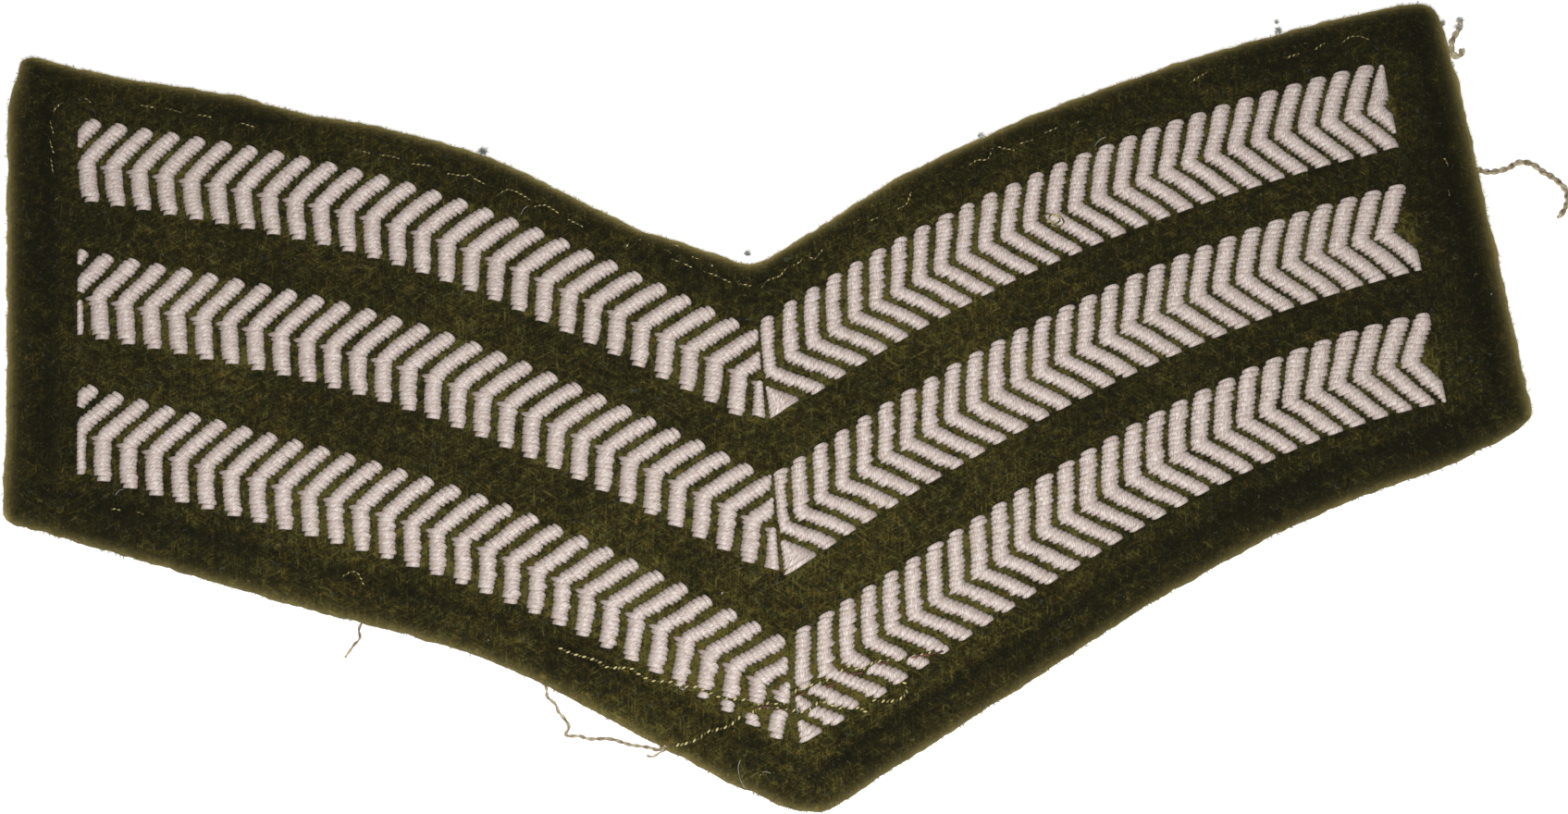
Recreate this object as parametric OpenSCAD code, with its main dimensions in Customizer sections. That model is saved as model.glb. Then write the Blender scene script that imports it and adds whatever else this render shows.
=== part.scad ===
// Three-bar rank chevron patch: a wool felt ground with three satin-stitched
// stripes, each stripe a row of separate arrow-shaped bars on a left and a right arm.
// Millimetres. The patch lies on its back: +Z comes out of its face, +Y points up the
// patch and +X to its right. The origin is on the back face, on the seam where the
// arms meet, under the middle stripe.

/* [Chevrons] */
// Seam to the left end of the stripes, at the height of the middle stripe's seam
left_span = 67.7; // [50:0.1:85]
// Seam to the right end of the stripes, at the same height
right_span = 66.7; // [50:0.1:85]
// Climb of an average arm from the seam to its end
arm_rise = 28; // [18:0.5:34]
// Middle stripe up to the top stripe, along the seam
top_step = 15; // [13:0.1:20]
// Middle stripe down to the bottom stripe, along the seam
bottom_step = 16.3; // [14:0.1:21]
// Width of an average stripe, across its run
stripe_w = 8.8; // [6:0.1:10]
// Clear line left between the two arms at the seam
seam_gap = 0.4; // [0.2:0.1:1.2]
// Lean of the stripes' ends, outwards going down
end_lean = 1.2; // [0:0.1:6]

/* [Bars] */
// Spacing of the bars on the left arms, along the arm
left_pitch = 2.67; // [2.2:0.01:4]
// Spacing of the bars on the right arms, along the arm
right_pitch = 2.51; // [2.2:0.01:4]
// Thickness of a bar, along the arm
bar_w = 1.7; // [1:0.05:1.9]
// Height of a bar over the felt at its crown
bar_h = 0.9; // [0.4:0.05:1.6]
// Lean of a bar's upper limb on the left arms, from the run of the arm
left_upper_lean = 59; // [45:1:85]
// Lean of a bar's lower limb on the left arms
left_lower_lean = 70; // [45:1:85]
// Lean of a bar's upper limb on the right arms
right_upper_lean = 58; // [45:1:85]
// Lean of a bar's lower limb on the right arms
right_lower_lean = 56; // [45:1:85]
// How far a bar's vertex lies below the middle of a left arm
left_vertex_drop = 0.3; // [-0.5:0.05:1]
// How far a bar's vertex lies below the middle of a right arm
right_vertex_drop = 0; // [-0.5:0.05:1]
// Length over which the two tips of a bar sink towards the felt
tip_len = 0.55; // [0.2:0.05:1.5]
// Narrowest remnant of a cut bar that is still stitched
least_bar = 0.9; // [0.5:0.1:2]
// Clearance between the felt and the underside of a bar
seat_gap = 0.05; // [0.02:0.01:0.2]

/* [Felt] */
// Thickness of the felt
felt_t = 2; // [1:0.1:3]
// Felt showing above the top stripe
top_margin = 5.7; // [5:0.1:10]
// Felt showing below the bottom stripe
bottom_margin = 6.1; // [5:0.1:12]
// Felt showing beyond the left ends of the stripes, at the top corner
left_margin = 4.8; // [4.5:0.1:10]
// Felt showing beyond the right ends of the stripes, at the top corner
right_margin = 6.3; // [5:0.1:12]
// How much further out each side runs at its lower corner
side_flare = 2.2; // [0:0.1:3]
// Below its top corner, where the left side has run most of the way out
left_bend_drop = 6; // [3:0.5:12]
// Radius of an average outer corner
corner_r = 1.8; // [0.5:0.1:2.5]
// How far the point at the bottom lies to the right of the seam
apex_shift = 1.2; // [-2:0.1:2]
// Radius of the point at the bottom
apex_r = 6; // [1:0.5:9]
// Radius in the notch at the top
notch_r = 3; // [0.5:0.5:6]
// Softening of the cut edge, front and back
edge_soft = 0.25; // [0.1:0.05:0.45]

/* [Sewing mark] */
// Top cut edge to the line where the patch was sewn down
sewn_top = 2.7; // [1.5:0.1:4]
// Side and bottom cut edges to that line
sewn_side = 3.9; // [1.5:0.1:4.5]
// Width of the mark pressed into the felt along that line
mark_w = 0.8; // [0.4:0.1:1.4]
// Depth of the mark
mark_depth = 0.3; // [0.1:0.05:0.45]

/* [Hidden] */

felt_colour = "#3a3819";
thread_colour = "#cfbdb6";

// Columns of arm_table: side of the seam, height on the seam, further offset there as
// a share of stripe_w, climb as a share of arm_rise, slope at the seam, slope at the
// end, width as a share of stripe_w, spacing of the bars as a share of the pitch,
// place of the first bar from the seam in spacings, and how far inside the end of the
// stripe the last bar's vertex stays, in spacings.
SIDE = 0;
HEIGHT = 1;
OFFSET = 2;
CLIMB = 3;
SEAM_SLOPE = 4;
END_SLOPE = 5;
WIDTH = 6;
SPACING = 7;
FIRST = 8;
LAST_ROOM = 9;
arm_table = [
    // side, height,    offset, climb, seam, end,  width, spacing, first, room
    [-1, top_step,     -0.04,  1.05, 32.5, 15,    0.96, 1.010, 0.98, -1.3],
    [1,  top_step,      0.03,  0.82, 31,    8.5,  1.06, 0.996, 0.32,  1],
    [-1, 0,            -0.015, 1.08, 32,   16,    0.99, 1.000, 0.98, -1.3],
    [1,  0,             0,     0.89, 29.5,  8.5,  1.04, 1.000, 1.00,  1],
    [-1, -bottom_step, -0.02,  1.16, 34.5, 21,    1.02, 0.993, 0.34, -1.3],
    [1,  -bottom_step,  0.03,  0.98, 26,    6,    1.06, 1.006, 0.43,  1]];
TOP_LEFT = arm_table[0];
TOP_RIGHT = arm_table[1];
MIDDLE_LEFT = arm_table[2];
MIDDLE_RIGHT = arm_table[3];
BOTTOM_LEFT = arm_table[4];
BOTTOM_RIGHT = arm_table[5];

// The hand-cut edge wanders in and out: the margin's share at places along a cut, from
// the seam (0) to the side (1).
top_left_cut = [[0, 1.02], [0.05, 1], [0.15, 0.79], [0.2, 0.81], [0.35, 0.96], [0.5, 0.93],
    [0.6, 0.87], [0.7, 0.97], [0.88, 0.94], [1, 1.1]];
top_right_cut = [[0, 0.97], [0.08, 0.91], [0.2, 1.05], [0.4, 1.08], [0.95, 1.07], [1, 1]];
bottom_left_cut = [[0, 0.84], [0.08, 0.91], [0.2, 0.96], [0.35, 0.91], [0.45, 0.98],
    [0.6, 1.09], [0.8, 1.03], [1, 0.99]];
bottom_right_cut = [[0, 1.04], [0.3, 1.1], [0.6, 1.08], [0.85, 1.03], [0.9, 0.92],
    [0.95, 0.75], [1, 0.48]];

// The left side's share of side_flare at its bend.
left_bend_share = 0.75;

// Radius of each corner as a share of corner_r: top left, top right, bottom right and
// bottom left.
corner_shares = [0.75, 1.3, 0.8, 1];

// The run of an arm is a cubic curve; its two handles are shares of the span.
left_handles = [0.55, 0.5];
right_handles = [0.35, 0.35];
run_steps = 24;
run_beyond = 15;

// Cross-section of a bar: place across the bar as a share of bar_w, height as a share
// of bar_h.
bar_section = [[-0.5, 0], [-0.4, 0.62], [0, 1], [0.4, 0.62], [0.5, 0]];
tip_height = 0.45;
bars_past_seam = 3;

corner_steps = 6;
edge_steps = 20;

function is_left(arm) = arm[SIDE] < 0;
function span_of(arm) = is_left(arm) ? left_span : right_span;
function pitch_of(arm) = (is_left(arm) ? left_pitch : right_pitch) * arm[SPACING];
function half_width(arm) = arm[WIDTH] * stripe_w / 2;
function vertex_drop(arm) = is_left(arm) ? left_vertex_drop : right_vertex_drop;
function heading(angle) = [cos(angle), sin(angle)];
function column(rows, key, value) = [for (row = rows) [row[key], row[value]]];

// A point of the arm's centre line, outwards from the seam, and past both ends of it
// along straight lines.
function run_point(arm, t) =
    let (
        handles = is_left(arm) ? left_handles : right_handles,
        span = span_of(arm),
        a = [0, arm[HEIGHT] + arm[OFFSET] * stripe_w],
        d = [span, arm[HEIGHT] + arm[CLIMB] * arm_rise],
        b = a + handles[0] * span * heading(arm[SEAM_SLOPE]),
        c = d - handles[1] * span * heading(arm[END_SLOPE]),
        u = 1 - t
    )
    t < 0 ? a + t * run_beyond * heading(arm[SEAM_SLOPE])
    : t > 1 ? d + (t - 1) * run_beyond * heading(arm[END_SLOPE])
    : u^3 * a + 3 * u^2 * t * b + 3 * u * t^2 * c + t^3 * d;

// The centre line from left to right: [distance along it from the seam, x, y, slope].
function run_line(arm) =
    let (
        stops = [-1, for (i = [0 : run_steps]) i / run_steps, 2],
        out = [for (t = stops) let (p = run_point(arm, t)) [arm[SIDE] * p.x, p.y]],
        pts = is_left(arm) ? [for (i = [len(out) - 1 : -1 : 0]) out[i]] : out,
        seam = is_left(arm) ? len(pts) - 2 : 1,
        gone = [for (i = 0, s = 0; i < len(pts);
                 i = i + 1, s = i < len(pts) ? s + norm(pts[i] - pts[i - 1]) : s) s]
    )
    [for (i = [0 : len(pts) - 1])
        let (
            d = pts[min(i + 1, len(pts) - 1)] - pts[max(i - 1, 0)]
        )
        [gone[i] - gone[seam], pts[i].x, pts[i].y, atan2(d.y, d.x)]];

// A place on an arm: s along it from the seam, positive to the right, and v across it.
function on_arm(line, s, v) =
    let (
        slope = lookup(s, column(line, 0, 3))
    )
    [lookup(s, column(line, 0, 1)) - v * sin(slope),
     lookup(s, column(line, 0, 2)) + v * cos(slope)];

// Height at x of a line that runs beside the arm at the distance v.
function beside_arm(line, x, v) =
    lookup(x, column(line, 1, 2)) + v / cos(lookup(x, column(line, 1, 3)));

// Where a bar's middle is at v across the arm, from its vertex.
function limb_run(arm, v) =
    let (
        up = is_left(arm) ? left_upper_lean : right_upper_lean,
        down = is_left(arm) ? left_lower_lean : right_lower_lean,
        from_vertex = v + vertex_drop(arm)
    )
    abs(from_vertex) / tan(from_vertex > 0 ? up : down);

// The points of one bar: a ring of the section at each stop across the arm.
function bar_points(arm, line, s) =
    let (
        w = half_width(arm),
        stops = [[w, tip_height], [w - tip_len, 1], [-vertex_drop(arm), 1],
            [tip_len - w, 1], [-w, tip_height]],
        base = felt_t + seat_gap
    )
    [for (stop = stops) for (p = bar_section)
        let (
            at = on_arm(line, s + limb_run(arm, stop[0]) + p.x * bar_w, stop[0])
        )
        [at.x, at.y, base + p.y * stop[1] * bar_h]];

// Faces of a bar with so many points in rings of n: its sides and its two tips.
function ring_faces(points, n) = concat(
    [for (r = [0 : points / n - 2]) for (i = [0 : n - 1])
        let (
            a = r * n + i,
            b = r * n + (i + 1) % n
        )
        each [[a, b, b + n], [a, b + n, a + n]]],
    [for (i = [1 : n - 2]) [0, i + 1, i]],
    [for (i = [1 : n - 2])
        let (
            k = points - n
        )
        [k, k + i, k + i + 1]]);

// Rounds the corner between a and c by a radius, as points on the arc.
function rounded(a, corner, c, r) =
    let (
        da = (a - corner) / norm(a - corner),
        dc = (c - corner) / norm(c - corner),
        half = acos(da * dc) / 2,
        back = r / tan(half),
        centre = corner + (da + dc) / norm(da + dc) * r / sin(half),
        from = corner + da * back - centre,
        to = corner + dc * back - centre,
        first = atan2(from.y, from.x),
        turn = atan2(from.x * to.y - from.y * to.x, from * to)
    )
    [for (i = [0 : corner_steps]) centre + r * heading(first + turn * i / corner_steps)];

// One cut edge of the felt, between x = from and x = to, beside an arm. The margin is
// positive above the arm and negative below it.
function cut_edge(arm, cut, margin, inset, from, to) =
    let (
        line = run_line(arm),
        way = sign(margin),
        far = max(abs(from), abs(to))
    )
    [for (i = [0 : edge_steps])
        let (
            x = from + (to - from) * i / edge_steps,
            wander = lookup(abs(x) / far, cut),
            v = way * (half_width(arm) - inset) + margin * wander
        )
        [x, beside_arm(line, x, v)]];

// The felt's outline, brought in by an inset at the top edge and at the other edges.
// The cut points next to the notch and to the point at the bottom make way for their
// rounding.
function felt_outline(top_in, side_in) =
    let (
        left_high = side_in - left_span - left_margin,
        left_low = left_high - side_flare,
        right_high = right_span + right_margin - side_in,
        right_low = right_high + side_flare,
        a = cut_edge(TOP_LEFT, top_left_cut, top_margin, top_in, left_high, 0),
        b = cut_edge(TOP_RIGHT, top_right_cut, top_margin, top_in, 0, right_high),
        c = cut_edge(BOTTOM_RIGHT, bottom_right_cut, -bottom_margin, side_in,
            right_low, apex_shift),
        d = cut_edge(BOTTOM_LEFT, bottom_left_cut, -bottom_margin, side_in,
            apex_shift, left_low),
        n = edge_steps,
        notch = (a[n] + b[0]) / 2,
        apex = (c[n] + d[0]) / 2,
        bend = [left_high - left_bend_share * side_flare, a[0].y - left_bend_drop],
        r = corner_r * corner_shares
    )
    concat(
        [bend],
        rounded(bend, a[0], a[1], r[0]),
        [for (i = [1 : n - 2]) a[i]],
        rounded(a[n - 2], notch, b[2], notch_r),
        [for (i = [2 : n - 1]) b[i]],
        rounded(b[n - 1], b[n], c[0], r[1]),
        rounded(b[n], c[0], c[1], r[2]),
        [for (i = [1 : n - 2]) c[i]],
        rounded(c[n - 2], apex, d[2], apex_r),
        [for (i = [2 : n - 1]) d[i]],
        rounded(d[n - 1], d[n], bend, r[3]));

module felt_layer(inset, from, to) {
    translate([0, 0, from])
        linear_extrude(to - from)
            polygon(felt_outline(inset, inset));
}

module sewing_mark() {
    translate([0, 0, felt_t - mark_depth])
        linear_extrude(mark_depth + edge_soft)
            difference() {
                polygon(felt_outline(sewn_top - mark_w / 2, sewn_side - mark_w / 2));
                polygon(felt_outline(sewn_top + mark_w / 2, sewn_side + mark_w / 2));
            }
}

module felt_ground() {
    color(felt_colour)
        difference() {
            union() {
                felt_layer(edge_soft, 0, edge_soft);
                felt_layer(0, edge_soft, felt_t - edge_soft);
                felt_layer(edge_soft, felt_t - edge_soft, felt_t);
            }
            sewing_mark();
        }
}

// The stretch between the seam and the slanting end of the stripes, on one side.
module arm_field(arm) {
    reach = left_span + right_span;
    slant = reach * tan(end_lean);
    end = span_of(arm);
    linear_extrude(felt_t + 2 * bar_h)
        polygon([for (p = [[seam_gap / 2, reach], [end - slant, reach],
            [end + slant, -reach], [seam_gap / 2, -reach]]) [arm[SIDE] * p.x, p.y]]);
}

// One bar. Where it crosses the seam or the end of its stripe it is cut off there.
module bar(arm, line, s) {
    points = bar_points(arm, line, s);
    faces = ring_faces(len(points), len(bar_section));
    outwards = [for (p = points) arm[SIDE] * p.x];
    ends = [for (p = points) span_of(arm) - p.y * tan(end_lean)];
    seen = min(max(outwards), min(ends)) - max(min(outwards), seam_gap / 2);
    whole = min(outwards) > seam_gap / 2 && max(outwards - ends) < 0;
    if (whole)
        polyhedron(points, faces);
    else if (seen > least_bar)
        intersection() {
            polyhedron(points, faces);
            arm_field(arm);
        }
}

module stitched_arm(arm) {
    line = run_line(arm);
    pitch = pitch_of(arm);
    length = abs(lookup(arm[SIDE] * span_of(arm), column(line, 1, 0)));
    last = floor(length / pitch - arm[FIRST] - arm[LAST_ROOM]);
    color(thread_colour)
        for (i = [-bars_past_seam : last])
            bar(arm, line, arm[SIDE] * (i + arm[FIRST]) * pitch);
}

module chevron_top_left() {
    stitched_arm(TOP_LEFT);
}

module chevron_top_right() {
    stitched_arm(TOP_RIGHT);
}

module chevron_middle_left() {
    stitched_arm(MIDDLE_LEFT);
}

module chevron_middle_right() {
    stitched_arm(MIDDLE_RIGHT);
}

module chevron_bottom_left() {
    stitched_arm(BOTTOM_LEFT);
}

module chevron_bottom_right() {
    stitched_arm(BOTTOM_RIGHT);
}

felt_ground();
chevron_top_left();
chevron_top_right();
chevron_middle_left();
chevron_middle_right();
chevron_bottom_left();
chevron_bottom_right();
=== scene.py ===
import bpy, bmesh, math
import numpy as np
from mathutils import Matrix, Vector, noise
from mathutils.kdtree import KDTree


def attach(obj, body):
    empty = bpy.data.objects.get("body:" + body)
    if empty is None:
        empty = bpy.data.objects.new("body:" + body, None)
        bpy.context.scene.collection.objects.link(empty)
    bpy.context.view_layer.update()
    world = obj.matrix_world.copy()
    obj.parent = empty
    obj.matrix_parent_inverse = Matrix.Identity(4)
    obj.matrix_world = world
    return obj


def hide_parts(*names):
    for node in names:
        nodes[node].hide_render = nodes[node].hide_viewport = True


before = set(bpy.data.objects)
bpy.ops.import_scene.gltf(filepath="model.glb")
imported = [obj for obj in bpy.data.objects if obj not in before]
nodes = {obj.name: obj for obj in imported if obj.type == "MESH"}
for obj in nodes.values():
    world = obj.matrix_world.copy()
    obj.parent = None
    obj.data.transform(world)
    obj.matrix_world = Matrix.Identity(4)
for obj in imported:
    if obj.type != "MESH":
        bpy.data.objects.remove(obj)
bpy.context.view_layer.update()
mm = 0.001
draws = np.random.default_rng(7)  # every random choice comes from here

# Camera: looks down on the patch from below its middle, as the photograph does. Sizes in mm.
camera = {
    "lookAt": (1.75, 11.96, 2.0), "distance": 250.0, "tilt": 15.0, "turn": 5.2,
    "pixelsPerMm": 11.0, "imageWidth": 1695, "imageHeight": 880, "sensor": 36.0,
}
tilt, turn = math.radians(camera["tilt"]), math.radians(camera["turn"])
viewRight = np.array([math.cos(turn), -math.sin(turn), 0])
viewAhead = np.array([math.sin(tilt) * math.sin(turn), math.sin(tilt) * math.cos(turn), -math.cos(tilt)])
viewUp = np.cross(viewRight, viewAhead)
viewFrom = np.array(camera["lookAt"]) - viewAhead * camera["distance"]
focal = camera["pixelsPerMm"] * camera["distance"]  # in pixels of the photograph


def makeCamera():
    data = bpy.data.cameras.new("patchCamera")
    data.sensor_width = camera["sensor"]
    data.lens = focal / camera["imageWidth"] * camera["sensor"]
    data.clip_start = 0.01
    obj = bpy.data.objects.new("patchCamera", data)
    bpy.context.collection.objects.link(obj)
    axes = Matrix((viewRight, viewUp, -viewAhead)).transposed().to_4x4()
    obj.matrix_world = Matrix.Translation(Vector(viewFrom * mm)) @ axes
    bpy.context.scene.camera = obj


def seenAt(px, py, height):
    # the place at this height, in mm, that shows at a pixel of the photograph
    ray = (viewAhead + (px - camera["imageWidth"] / 2) / focal * viewRight
           - (py - camera["imageHeight"] / 2) / focal * viewUp)
    return viewFrom + (height - viewFrom[2]) / ray[2] * ray


def seenRoute(pixels, height):
    return [seenAt(px, py, height) for px, py in pixels]


makeCamera()
print("camera set")

# The patch and its arms, in mm, as in the part's source.
patch = {
    "leftSpan": 67.7, "rightSpan": 66.7, "armRise": 28.0, "stripeWidth": 8.8, "seamGap": 0.4,
    "endLean": 1.2, "feltThick": 2.0, "leftHandles": (0.55, 0.5), "rightHandles": (0.35, 0.35),
    "runSteps": 24, "runBeyond": 15.0,
}
bars = {
    "leftPitch": 2.67, "rightPitch": 2.51, "width": 1.7, "height": 0.9, "seatGap": 0.05,
    "leftLeans": (59, 70), "rightLeans": (58, 56), "leftDrop": 0.3, "rightDrop": 0.0, "pastSeam": 3,
}
armKeys = ("node", "side", "height", "offset", "climb", "seamSlope", "endSlope", "wide", "spacing",
           "first", "room")
arms = [dict(zip(armKeys, row)) for row in (
    ("chevron_top_left", -1, 15.0, -0.04, 1.05, 32.5, 15, 0.96, 1.010, 0.98, -1.3),
    ("chevron_top_right", 1, 15.0, 0.03, 0.82, 31, 8.5, 1.06, 0.996, 0.32, 1),
    ("chevron_middle_left", -1, 0.0, -0.015, 1.08, 32, 16, 0.99, 1.000, 0.98, -1.3),
    ("chevron_middle_right", 1, 0.0, 0.0, 0.89, 29.5, 8.5, 1.04, 1.000, 1.00, 1),
    ("chevron_bottom_left", -1, -16.3, -0.02, 1.16, 34.5, 21, 1.02, 0.993, 0.34, -1.3),
    ("chevron_bottom_right", 1, -16.3, 0.03, 0.98, 26, 6, 1.06, 1.006, 0.43, 1),
)]


def heading(angle):
    return np.array([math.cos(math.radians(angle)), math.sin(math.radians(angle))])


def lengthsAlong(points):
    # how far along the line through the points each of them is
    return np.concatenate([[0], np.cumsum(np.linalg.norm(np.diff(points, axis=0), axis=1))])


def sided(arm, values, leftKey, rightKey):
    return values[leftKey] if arm["side"] < 0 else values[rightKey]


def armRun(arm):
    # the arm's centre line from left to right, with the distance along it from the seam
    span = sided(arm, patch, "leftSpan", "rightSpan")
    near, far = sided(arm, patch, "leftHandles", "rightHandles")
    atSeam, atEnd = heading(arm["seamSlope"]), heading(arm["endSlope"])
    a = np.array([0, arm["height"] + arm["offset"] * patch["stripeWidth"]])
    d = np.array([span, arm["height"] + arm["climb"] * patch["armRise"]])
    b, c = a + near * span * atSeam, d - far * span * atEnd
    t = np.linspace(0, 1, patch["runSteps"] + 1)[:, None]
    points = (1 - t) ** 3 * a + 3 * (1 - t) ** 2 * t * b + 3 * (1 - t) * t ** 2 * c + t ** 3 * d
    points = np.vstack([a - patch["runBeyond"] * atSeam, points, d + patch["runBeyond"] * atEnd])
    seam = 1
    if arm["side"] < 0:
        points[:, 0] *= -1
        points = points[::-1]
        seam = len(points) - 2
    gone = lengthsAlong(points)
    ahead = np.vstack([points[1:], points[-1:]]) - np.vstack([points[:1], points[:-1]])
    return {"s": gone - gone[seam], "x": points[:, 0], "y": points[:, 1],
            "slope": np.arctan2(ahead[:, 1], ahead[:, 0])}


def armEnd(arm, run):
    # the place along the arm where its stripe ends
    return np.interp(arm["side"] * sided(arm, patch, "leftSpan", "rightSpan"), run["x"], run["s"])


def onArm(run, s, v):
    # the place s along the arm from the seam and v across it
    slope = np.interp(s, run["s"], run["slope"])
    return (np.interp(s, run["s"], run["x"]) - v * np.sin(slope),
            np.interp(s, run["s"], run["y"]) + v * np.cos(slope))


# Meshes of many small tubes

def meshFrom(bm, name):
    mesh = bpy.data.meshes.new(name)
    bm.to_mesh(mesh)
    bm.free()
    return mesh


def tubeMesh(sides, segments):
    # a closed tube of radius 1 from z = -1 to z = 1; its UVs run along it and around it
    bm = bmesh.new()
    bmesh.ops.create_cone(bm, cap_ends=True, segments=sides, radius1=1, radius2=1, depth=2)
    longEdges = [e for e in bm.edges if abs(e.verts[0].co.z - e.verts[1].co.z) > 1]
    bmesh.ops.subdivide_edges(bm, edges=longEdges, cuts=segments - 1, use_grid_fill=True)
    uvLayer = bm.loops.layers.uv.new("UVMap")
    for face in bm.faces:
        middle = face.calc_center_median()
        facing = math.atan2(middle.y, middle.x)
        for loop in face.loops:
            co = loop.vert.co
            turned = (math.atan2(co.y, co.x) - facing + math.pi) % (2 * math.pi) - math.pi
            loop[uvLayer].uv = ((co.z + 1) / 2, (facing + turned) / (2 * math.pi) + 0.5)
    return meshFrom(bm, "tube")


def meshOf(obj):
    # the object's mesh with its modifiers applied
    bpy.context.collection.objects.link(obj)
    mesh = bpy.data.meshes.new_from_object(obj.evaluated_get(bpy.context.evaluated_depsgraph_get()))
    bpy.data.objects.remove(obj)
    return mesh


def manyOf(template, count):
    # the small mesh count times over, joined by an array
    source = bpy.data.objects.new("arraySource", template)
    array = source.modifiers.new("array", "ARRAY")
    array.count = count
    array.use_relative_offset = False
    array.use_constant_offset = True
    array.constant_offset_displace = (0, 0, 0)
    return meshOf(source)


def readVectors(items, key):
    # a row of three numbers for each vertex or face
    numbers = np.empty(len(items) * 3, np.float32)
    items.foreach_get(key, numbers)
    return numbers.reshape(-1, 3)


def templatePoints(template):
    # cosine, sine and ring number of each point of a tube
    cosine, sine, z = readVectors(template.vertices, "co").T
    return cosine, sine, np.round((z + 1) / 2 * (len(np.unique(z.round(4))) - 1)).astype(int)


def unit(vectors):
    return vectors / np.linalg.norm(vectors, axis=1)[:, None]


def squareTo(ways):
    # two unit directions square to each way: sideways and upwards
    sideways = unit(np.cross(ways, [0, 0, 1.0]))
    return sideways, np.cross(sideways, ways)


def aroundWays(ways, cosine, sine):
    # how far each point of a tube of radius 1 is from its middle line, for each way
    sideways, upwards = squareTo(ways)
    return sideways[:, None] * cosine[None, :, None] + upwards[:, None] * sine[None, :, None]


def addObject(name, data):
    obj = bpy.data.objects.new(name, data)
    bpy.context.collection.objects.link(obj)
    return obj


def addPiece(name, mesh, points, material, slotName, **values):
    # points in mm; each further value is kept as an attribute, one number a point
    if points is not None:
        mesh.vertices.foreach_set("co", (np.asarray(points) * mm).astype(np.float32).ravel())
    for key, numbers in values.items():
        mesh.attributes.new(key, "FLOAT", "POINT").data.foreach_set("value", numbers.astype(np.float32))
    mesh.name = name
    mesh.materials.clear()
    mesh.materials.append(material)
    mesh.shade_smooth()
    mesh.update()
    obj = addObject(name, mesh)
    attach(obj, "root")
    print(name, len(mesh.polygons), "faces")
    return obj


def smoothRoute(points, step):
    # a smooth line through the points, with a point at every step of its length
    p = np.asarray(points, float)
    p = np.vstack([2 * p[0] - p[1], p, 2 * p[-1] - p[-2]])
    t = np.linspace(0, 1, 12, endpoint=False)[:, None]  # 12 short pieces between two points
    parts = [0.5 * (2 * p[i] + (p[i + 1] - p[i - 1]) * t
                    + (2 * p[i - 1] - 5 * p[i] + 4 * p[i + 1] - p[i + 2]) * t ** 2
                    + (3 * p[i] - p[i - 1] - 3 * p[i + 1] + p[i + 2]) * t ** 3)
             for i in range(1, len(p) - 2)]
    line = np.vstack(parts + [p[-2:-1]])
    gone = lengthsAlong(line)
    at = np.linspace(0, gone[-1], max(3, int(gone[-1] / step) + 1))
    return np.stack([np.interp(at, gone, line[:, k]) for k in range(3)], axis=1)


def apart(points, line):
    # how far each point is from the nearest point of a line, in plan
    return np.sqrt(((points[:, None, :2] - line[None, :, :2]) ** 2).sum(-1)).min(1)


# Where the sewing thread that was left in the patch runs: pixels of the photograph. Sizes in mm.
pulledThread = {
    "height": 2.3, "step": 0.15, "ripple": 0.05,
    "main": [(606, 701), (617, 706), (635, 711), (647, 715), (656, 721), (672, 722), (681, 722),
             (691, 729), (706, 736), (724, 737), (740, 742), (754, 743), (771, 751), (784, 755),
             (810, 757), (817, 761), (832, 760), (846, 761), (852, 754), (860, 747), (876, 741),
             (890, 737), (907, 727), (919, 720), (930, 724), (945, 716), (957, 714), (975, 712),
             (1000, 707), (1018, 702)],
    "lower": [(814, 770), (819, 766), (832, 765), (849, 767), (860, 768), (872, 769), (884, 760),
              (892, 759), (906, 765), (920, 765), (930, 766), (939, 772)],
    "hook": [(945, 757), (960, 758), (972, 756), (980, 748), (979, 740), (974, 735)],
    "tail": [(799, 776), (794, 779), (790, 784), (778, 788), (765, 791), (754, 799), (740, 804),
             (728, 806)],
}


def pulledLine(key):
    return smoothRoute(seenRoute(pulledThread[key], pulledThread["height"]), pulledThread["step"])


pinches = np.vstack([pulledLine("main"), pulledLine("lower")])

# Satin bars: each thread goes once over its bar. Sizes in mm.
satin = {
    "step": 0.40, "halfWidth": 0.35, "halfHeight": 0.11, "sides": 7, "segments": 8,
    "crownPower": 2.2, "crownRound": 0.6, "leftCrown": 0.2, "rightCrown": -0.25, "sunk": 0.14,
    "skew": (-10, 7), "rightSkewShare": 0.4, "narrowed": 0.03, "wobble": 0.02, "heightSpread": 0.02,
    "sway": 0.05, "swayWaves": (1.7, 2.3), "elbowBlend": 0.8,
    "tipLength": 0.65, "tipHeight": 0.5, "tipRound": 0.7,
    "leftNib": 0.46, "rightNib": 0.2, "nextNib": 0.45, "nibFrom": 0.15, "nibRaised": 0.2,
    "toothDraw": (-0.2, 1), "toothMean": 0.28,  # the average of the squared draw
    "boldTooth": 0.36, "leftReach": 0.04, "rightReach": 0.095,
    "shortest": 0.32, "stub": 0.4, "fullFrom": 0.625, "lowest": 0.2,
    "pinchClear": 0.17, "pinchSpread": 0.6, "pinchRound": 0.6, "pinchShare": 0.35, "pinchTall": 0.4,
    "widened": (-0.04, 0.1),  # each edge of the right arms' bars, at the seam and at the far end
    "pointed": (0.05, 0.32, 0.74), "blunt": (0.66, 0.96, 1.0),  # width of a thread's last rings
    "tipShort": 0.34, "leftArmTips": ((0.9, 0.5), (1.4, 0.7)), "rightArmTips": ((1.1, 0.0), (0.5, 0.0)),
}
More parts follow.
